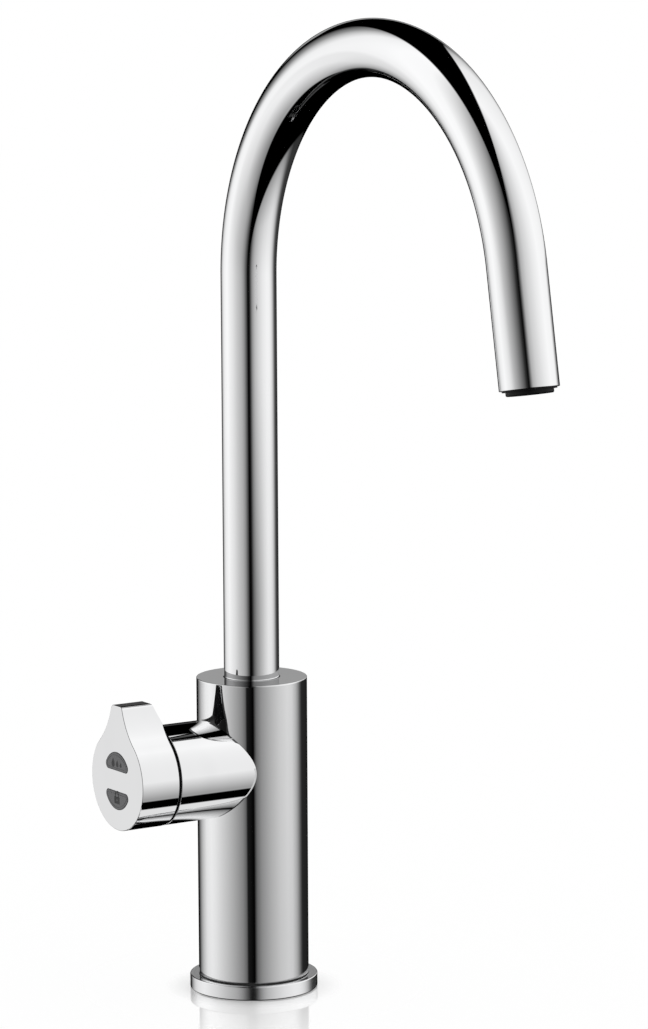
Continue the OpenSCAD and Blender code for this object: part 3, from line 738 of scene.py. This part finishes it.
def turned_rule(sides, place=UPRIGHT):
    """The exact normal of a turned piece: that of the nearest side of its outline which faces the same way."""
    a, b, na, nb = (np.array([tuple(s[i]) for s in sides]) for i in range(4))
    axes, origin = np.array(place.to_3x3()), np.array(place.translation)

    def rule(spots, facing):
        local, face = (spots - origin) @ axes, facing @ axes
        reach = np.hypot(local[:, 0], local[:, 1])
        outward = local[:, :2] / np.maximum(reach, 1e-9)[:, None]
        flat = np.stack((reach, local[:, 2]), axis=1)
        flat_face = np.stack((dots(face[:, :2], outward), face[:, 2]), axis=1)
        along_side = b - a
        share = np.clip(np.einsum("lsk,sk->ls", flat[:, None] - a, along_side) / (along_side ** 2).sum(1), 0, 1)
        gap = np.linalg.norm(flat[:, None] - (a + share[..., None] * along_side), axis=2)
        normal = na + share[..., None] * (nb - na)
        normal /= np.linalg.norm(normal, axis=2, keepdims=True)
        turned_away = np.einsum("lsk,lk->ls", normal, flat_face) < 0.9
        best = np.arange(len(gap)), np.argmin(gap + turned_away, axis=1)
        chosen = normal[best]
        exact = np.concatenate((outward * chosen[:, :1], chosen[:, 1:]), axis=1) @ axes.T
        exact[gap[best] > 0.02] = 0
        return exact
    return rule


# %% [markdown]
# **Holes.** Screw holes, windows and cavities are cut with the Boolean modifier in its exact mode, and the modifier
# is applied at once.

# %% Cut, join and dress
def carve(item, shape, place, operation="DIFFERENCE"):
    tool = mesh_object("tool", *shape, place)
    modifier = item.modifiers.new("carve", "BOOLEAN")
    modifier.operation, modifier.solver, modifier.object = operation, "EXACT", tool
    carved = bpy.data.meshes.new_from_object(item.evaluated_get(bpy.context.evaluated_depsgraph_get()))
    item.modifiers.clear()
    carved.name, item.data.name = item.data.name, "before"
    item.data = carved
    bpy.data.objects.remove(tool)


def wears(item, finish, body):
    """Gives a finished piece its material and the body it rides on."""
    item.data.materials.append(finish.material)
    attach(item, body)


def stands_for(item, node, body, finish):
    """Puts a finished plated piece in the place of its CAD node."""
    wears(item, finish, body)
    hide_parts(node)


# %% [markdown]
# ### Base flange
# A turned disc with a softly rounded upper edge and a groove underneath for the seal that sits on the worktop.

# %% Flange
FLANGE_R, FLANGE_H = 29, 6.4
FLANGE = rounded([(19.95, 0.2, 0), (20.15, 0, 0), (24, 0, 0), (24, 1.6, 0), (27.4, 1.6, 0), (27.4, 0, 0),
                  (FLANGE_R - 0.5, 0, 0.1), (FLANGE_R, 0.5, 0.1), (FLANGE_R, FLANGE_H, 0.5), (21.95, FLANGE_H, 0),
                  (21.95, 2.5, 0), (19.95, 2.5, 0)])
flange = mesh_object("plated_flange", *spun(FLANGE, 256))
true_normals(flange, turned_rule(FLANGE))
stands_for(flange, "base_flange", "body", turned)

# %% [markdown]
# ### Body shell
# A straight plated tube with a flat turned top. Two holes are cut in it: a large one under the side arm, for the
# valve, and a small one at the back for the screw that stops the spout's swivel.

# %% Shell
BODY_TOP, LID_Z = 143.3, 140.1
SHELL = rounded([(22.2, FLANGE_H, 0), (24.4, FLANGE_H, 0.1), (25, FLANGE_H + 0.6, 0.1), (25, BODY_TOP, 0.3),
                 (12.85, BODY_TOP, 0.1), (12.85, LID_Z, 0), (22.2, LID_Z, 0)])
STOP_SCREW = Matrix(((1, 0, 0, 0), (0, 0, 1, 0), (0, -1, 0, 131.8), (0, 0, 0, 1)))
shell = mesh_object("plated_shell", *spun(SHELL, 256))
carve(shell, rod(14.5, 13, 39), ON_ARM)
carve(shell, rod(2.6, 20, 27), STOP_SCREW)
true_normals(shell, turned_rule(SHELL))
stands_for(shell, "body_shell", "body", plating)

# %% [markdown]
# ### Side arm
# A short tube. Its inner end is cut to a saddle that hugs the round body, so the points of that end are slid along
# the arm until they lie on the body's radius.

# %% Arm
SADDLE = 25.12
ARM = rounded([(20, 0, 0), (22.3, 0, 0), (22.3, 50.4, 0.25), (20, 50.4, 0)])
points, quads = spun(ARM, 192)
points = [(x, y, z if z > 40 else sqrt(SADDLE ** 2 - y ** 2)) for x, y, z in points]
arm = mesh_object("plated_arm", points, quads, ON_ARM)
true_normals(arm, turned_rule(ARM, ON_ARM))
stands_for(arm, "side_arm", "body", fine_plating)

# %% [markdown]
# ### Gooseneck pipe
# A drawn brass pipe, bent round one radius. It could be a bevelled curve, but then its end would have no wall and no
# rounded edge. Here rings of points follow the centre line up, round the bend and down the tail, back inside the
# bore, and close at the foot.

# %% Pipe
FOOT_Z, BEND_START, BEND_R, BEND, TAIL = 136.9, 325.1, 104.2, radians(169.6), 49.9
PIPE_R, BORE_R, EDGE = 12.5, 11, 0.25
AROUND, BEND_STEPS, BORE_STEPS = 128, 160, 40


def outward_at(angle):
    """From the middle of the bend towards the pipe's centre line."""
    return np.stack((0 * angle, np.cos(angle), np.sin(angle)), axis=-1)


def centre_line(angle):
    return BEND_R * outward_at(angle) + np.array((0, -BEND_R, BEND_START))


def pipe_ring(angle, extra, radius):
    """A ring across the pipe at an angle of the bend, moved on by extra along the straight that follows."""
    centre = centre_line(angle) + extra * outward_at(angle + pi / 2)
    return [tuple(centre + x * np.array((1, 0, 0)) + y * outward_at(angle)) for x, y in circle(radius, AROUND)]


down_the_tail = outward_at(BEND + pi / 2)
rings = [pipe_ring(0, FOOT_Z - BEND_START, PIPE_R)]
rings += [pipe_ring(BEND * k / BEND_STEPS, 0, PIPE_R) for k in range(BEND_STEPS + 1)]
rings += [pipe_ring(BEND, TAIL - EDGE + y, PIPE_R - EDGE + x) for x, y in arc(EDGE, 0, pi / 2, ARC_STEPS)]
rings.append(pipe_ring(BEND, TAIL, BORE_R))
rings += [pipe_ring(BEND * (1 - k / BORE_STEPS), 0, BORE_R) for k in range(BORE_STEPS + 1)]
rings.append(pipe_ring(0, FOOT_Z - BEND_START, BORE_R))
pipe = mesh_object("plated_pipe", sum(rings, []), quads_between(len(rings), AROUND, closed=True))


def pipe_rule(spots, facing):
    """Straight away from the centre line of the pipe, and turning over at its rounded end."""
    x, y, z = spots.T
    angle = np.where((z < BEND_START) & (y > -BEND_R), 0, np.arctan2(z - BEND_START, y + BEND_R) % tau)
    on_tail = angle > BEND
    angle = np.minimum(angle, BEND)
    out = outward_at(angle)
    share_out = dots(spots - centre_line(angle), out)[:, None]
    normal = unit(np.stack((x, 0 * x, 0 * x), axis=1) + out * share_out)
    normal *= np.sign(dots(normal, facing))[:, None]
    turn_over = np.clip(((spots - centre_line(BEND)) @ down_the_tail - (TAIL - EDGE)) / EDGE, 0, 1)[:, None]
    turn_over = turn_over * (on_tail & (dots(facing, down_the_tail[None]) > 0.05))[:, None]
    return normal * np.sqrt(1 - turn_over ** 2) + turn_over * down_the_tail


true_normals(pipe, pipe_rule)
stands_for(pipe, "spout_tube", "spout", plating)

# %% [markdown]
# ### Handle shell
# The handle is a teardrop: a round disc, two hollow flanks and a narrow tip with two small rounded corners. Its
# outline is made of arcs that meet without a kink, so every point of it carries its exact outward normal, and an
# inset of the outline is each point moved back along its normal. That is how the rounded front edge is made.

# %% Teardrop outline
HANDLE_R, FLANK_R, TIP_R, TIP_H = 22.4, 34, 2.2, 34
FLANK_JOIN = radians(41.6)
HANDLE_BACK, HANDLE_FRONT, FRONT_EDGE, BACK_EDGE = 51.9, 70.8, 0.4, 0.12
LEAN_FROM, LEAN_DEPTH, LEAN_ROUND = 25.7, 3.2, 1.2
flank_centre = Vector((cos(FLANK_JOIN), sin(FLANK_JOIN))) * (HANDLE_R + FLANK_R)
tip_up = TIP_H - TIP_R
tip_centre = Vector((tip_up, flank_centre.y - sqrt((FLANK_R + TIP_R) ** 2 - (flank_centre.x - tip_up) ** 2)))
tip_join = atan2(flank_centre.y - tip_centre.y, flank_centre.x - tip_centre.x)


def fan(centre, radius, start, end, steps, hollow=False):
    """Points on an arc with their outward normals."""
    away = [Vector(p) for p in arc(1, start, end, steps)[:-1]]
    return [(centre + a * radius, -a if hollow else a) for a in away]


WINDOW_GAP = 0.18
CORNER_R, DOME_R, CORNER_UP, DOME_UP = 2 + WINDOW_GAP, 11 + WINDOW_GAP, 6.8, 1.9
half = fan(tip_centre, TIP_R, 0, tip_join, 20)
half += fan(flank_centre, FLANK_R, tip_join + pi, FLANK_JOIN + pi, 48, hollow=True)
half += fan(Vector((0, 0)), HANDLE_R, FLANK_JOIN, pi, 96)
mirrored = [(Vector((p.x, -p.y)), Vector((n.x, -n.y))) for p, n in reversed(half)]
disc_foot = [(Vector((-HANDLE_R, 0)), Vector((-1, 0)))]
teardrop = half + disc_foot + mirrored
print("teardrop points:", len(teardrop), "tip corners at", [round(v, 2) for v in tip_centre])


def moon(side):
    """The outline of a button's half-moon window. Side 1 is the upper one and -1 the lower one."""
    reach = sqrt((DOME_R - CORNER_R) ** 2 - (CORNER_UP - DOME_UP) ** 2)
    lean = atan2(reach, CORNER_UP - DOME_UP)
    outline = arc(CORNER_R, -pi, -lean, 16, (CORNER_UP, -reach))[:-1]
    outline += arc(DOME_R, -lean, lean, 56, (DOME_UP, 0))[:-1]
    outline += arc(CORNER_R, lean, pi, 16, (CORNER_UP, reach))
    return [(x * side, y * side) for x, y in outline]


# %% [markdown]
# The blank is a stack of insets. It is hollowed from the back for the hub, gets two screw posts, two windows for the
# buttons, and underneath the small hole for the hex key that loosens the handle. The back of the tip leans forward,
# which gives fingers room between the tip and the body, and it turns over into the top with a small radius.

# %% Build the handle shell
stack = [(BACK_EDGE - y, HANDLE_BACK + BACK_EDGE - x) for x, y in arc(BACK_EDGE, 0, pi / 2, 3)]
stack += [(FRONT_EDGE - x, HANDLE_FRONT - FRONT_EDGE + y) for x, y in arc(FRONT_EDGE, 0, pi / 2, 6)]
points = [(*(p - n * inset), u) for inset, u in stack for p, n in teardrop]
handle = mesh_object("plated_handle", points, tube_faces(len(stack), len(teardrop)), ON_ARM)
carve(handle, rod(19.6, 50, 68.6), ON_ARM)
for side in (-1, 1):
    carve(handle, rod(2.9, 61.1, 69.2, (0, 14 * side), 48), ON_ARM, "UNION")
    carve(handle, rod(1.25, 60, 67, (0, 14 * side), 32), ON_ARM)
    carve(handle, prism(moon(side), 67, 72), ON_ARM)
lean_slope = LEAN_DEPTH / (TIP_H - LEAN_FROM)
lean_out = Vector((lean_slope, -1)).normalized()
turn_at = TIP_H - LEAN_ROUND
turn_centre = Vector((turn_at, HANDLE_BACK + lean_slope * (turn_at - LEAN_FROM)
                      + LEAN_ROUND * hypot(1, lean_slope)))
lean_cut = [(LEAN_FROM - 3, HANDLE_BACK - 3 * lean_slope)]
lean_cut += arc(LEAN_ROUND, atan2(lean_out.y, lean_out.x), 0, 8, turn_centre)
lean_cut += [(TIP_H + 0.001, 60), (TIP_H + 3, 60), (TIP_H + 3, 48), (LEAN_FROM - 3, 48)]
carve(handle, ([(x, y, u) for y in (-30, 30) for x, u in lean_cut], tube_faces(2, len(lean_cut))), ON_ARM)
HEX_HOLE = Matrix(((1, 0, 0, -57), (0, -1, 0, 0), (0, 0, -1, ARM_Z), (0, 0, 0, 1)))
carve(handle, rod(1.5, 15, 26, around=32), HEX_HOLE)


def handle_rule(spots, facing):
    """The outward normal of the teardrop at a point, turning over along the rounded front edge."""
    up, across, depth = spots[:, 2] - ARM_Z, spots[:, 1], -spots[:, 0]
    side = np.where(across < 0, -1, 1)
    flat = np.stack((up, np.abs(across)), axis=1)
    disc = unit(flat)
    flank = unit(np.array(flank_centre) - flat)
    from_tip = flat - np.array(tip_centre)
    tip_angle = np.arctan2(from_tip[:, 1], from_tip[:, 0])
    normal = np.where((np.arctan2(flat[:, 1], flat[:, 0]) < FLANK_JOIN)[:, None], flank, disc)
    at_corner = (tip_angle > 0) & (tip_angle < tip_join) & (np.hypot(*from_tip.T) < TIP_R + 0.1)
    normal = np.where(at_corner[:, None], unit(from_tip), normal)
    on_top = (flat[:, 0] > tip_up) & (flat[:, 1] <= tip_centre.y)
    normal = np.where(on_top[:, None], np.array((1, 0)), normal)
    over = np.clip((depth - (HANDLE_FRONT - FRONT_EDGE)) / FRONT_EDGE, 0, 1)
    back = np.clip((HANDLE_BACK + BACK_EDGE - depth) / BACK_EDGE, 0, 1)
    level = np.sqrt(np.maximum(1 - over ** 2 - back ** 2, 0))
    return np.stack((back - over, normal[:, 1] * side * level, normal[:, 0] * level), axis=1)


true_normals(handle, handle_rule)
stands_for(handle, "handle_shell", "handle", fine_plating)

# %% [markdown]
# ### Dark trims
# Thin black pieces close the gaps between plated parts: a black ring at the foot of the body, in the groove of its
# chamfer, which is painted shade for the dark line in that gap; a ring in the gap round the pipe; and a lining of
# two plates on the back of the handle. They are a few tenths of a millimetre thick, so they are made here and not in
# the solids.

# %% Painted shade ring at the body's foot, gap ring and handle lining
# A black ring in the groove at the body's foot: painted shade for the dark line in the gap between the body and the
# flange.
foot_shade_outline = rounded([(24, FLANGE_H, 0), (24.97, FLANGE_H, 0), (24.97, FLANGE_H + 0.55, 0.1),
                        (24, FLANGE_H + 0.2, 0)])
foot_shade_ring = mesh_object("body_foot_painted_shade", *spun(foot_shade_outline, 192))
foot_shade_ring.data.shade_smooth()
foot_shade_ring.data.set_sharp_from_angle(angle=radians(30))
wears(foot_shade_ring, rubber, "body")

GAP_LOW, GAP_HIGH = LID_Z + 0.1, BODY_TOP - 0.12
ring_outline = rounded([(12.52, GAP_LOW, 0), (12.84, GAP_LOW, 0), (12.84, GAP_HIGH, 0), (12.52, GAP_HIGH, 0)])
gap_ring = mesh_object("pipe_gap_ring", *spun(ring_outline, 128))
wears(gap_ring, rubber, "body")

half_way = len(teardrop) // 2
edge = [p - n * 0.3 for p, n in teardrop[half_way:] + teardrop[:half_way]]
fold_half = flank_centre.y - sqrt(FLANK_R ** 2 - (flank_centre.x - LEAN_FROM) ** 2) - 0.35
fold = [Vector((LEAN_FROM, -fold_half)), Vector((LEAN_FROM, fold_half))]
below = [p for p in edge if p.x < LEAN_FROM]
split = next(k for k, p in enumerate(below) if p.y > 0 and k > 0 and below[k - 1].y < 0)
flat_part = below[:split] + fold + below[split:]
tip_part = fold[:1] + [p for p in edge if LEAN_FROM < p.x < turn_at] + fold[1:]
for name, part, lean in (("handle_back_lining", flat_part, 0), ("handle_tip_lining", tip_part, lean_slope)):
    points = [(p.x, p.y, HANDLE_BACK + lean * (p.x - LEAN_FROM) - off) for off in (0.02, 0.14) for p in part]
    plate = mesh_object(name, points, tube_faces(2, len(part)), ON_ARM)
    carve(plate, rod(19.7, 51, 53), ON_ARM)
    wears(plate, black_acetal, "handle")
print("trims: the painted shade ring at the foot, the gap ring and the lining")

# %% [markdown]
# ### Marks on the buttons
# Each button carries a small dark mark. The upper one chooses the water, so it gets three drops that grow in size,
# and the lower one guards the boiling water, so it gets a padlock. They are inlays, a few hundredths of a millimetre
# thick, and they ride on their buttons.

# %% Button marks
BUTTON_TOP, INLAY, INLAY_BED = 71, 0.04, 0.02
LOCK_MIDDLE = -8.6


def inlay(name, outline, body, holes=()):
    """A thin dark plate on a button, from points (across, up) in millimetres from the handle's middle."""
    bed = BUTTON_TOP - INLAY_BED
    item = mesh_object(name, *prism([(y, -x) for x, y in outline], bed, bed + INLAY), ON_ARM)
    for hole in holes:
        carve(item, prism([(y, -x) for x, y in hole], bed - 1, bed + 1), ON_ARM)
    wears(item, ink, body)


def drop(across, up, size):
    """A water drop: three quarters of a circle below, and a point above."""
    round_part = arc(size, radians(150), radians(390), 24, (across, up))
    return round_part + [(across, up + 2.1 * size)]


for number, (across, size) in enumerate(((3.6, 0.8), (0.6, 1.05), (-3, 1.35))):
    inlay(f"select_mark_{number}", drop(across, 7.4, size), "select_button")


def arch(radius, foot, top):
    """A half circle on two straight legs."""
    return [(radius, foot)] + arc(radius, 0, pi, 16, (0, top)) + [(-radius, foot)]


lock_body, shackle, inside_shackle = ([(x, y + LOCK_MIDDLE) for x, y in outline] for outline in (
    ((-2.3, -1.7), (2.3, -1.7), (2.3, 1.4), (-2.3, 1.4)), arch(1.75, 1.3, 2.3), arch(1, 1.45, 2.3)))
keyhole = circle(0.45, 16, (0, LOCK_MIDDLE - 0.1))
inlay("safety_mark_body", lock_body, "safety_button", [keyhole])
inlay("safety_mark_shackle", shackle, "safety_button", [inside_shackle])
print("marks: 3 drops and a padlock")

# %% Sizes for the size rule, and the last line
low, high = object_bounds()
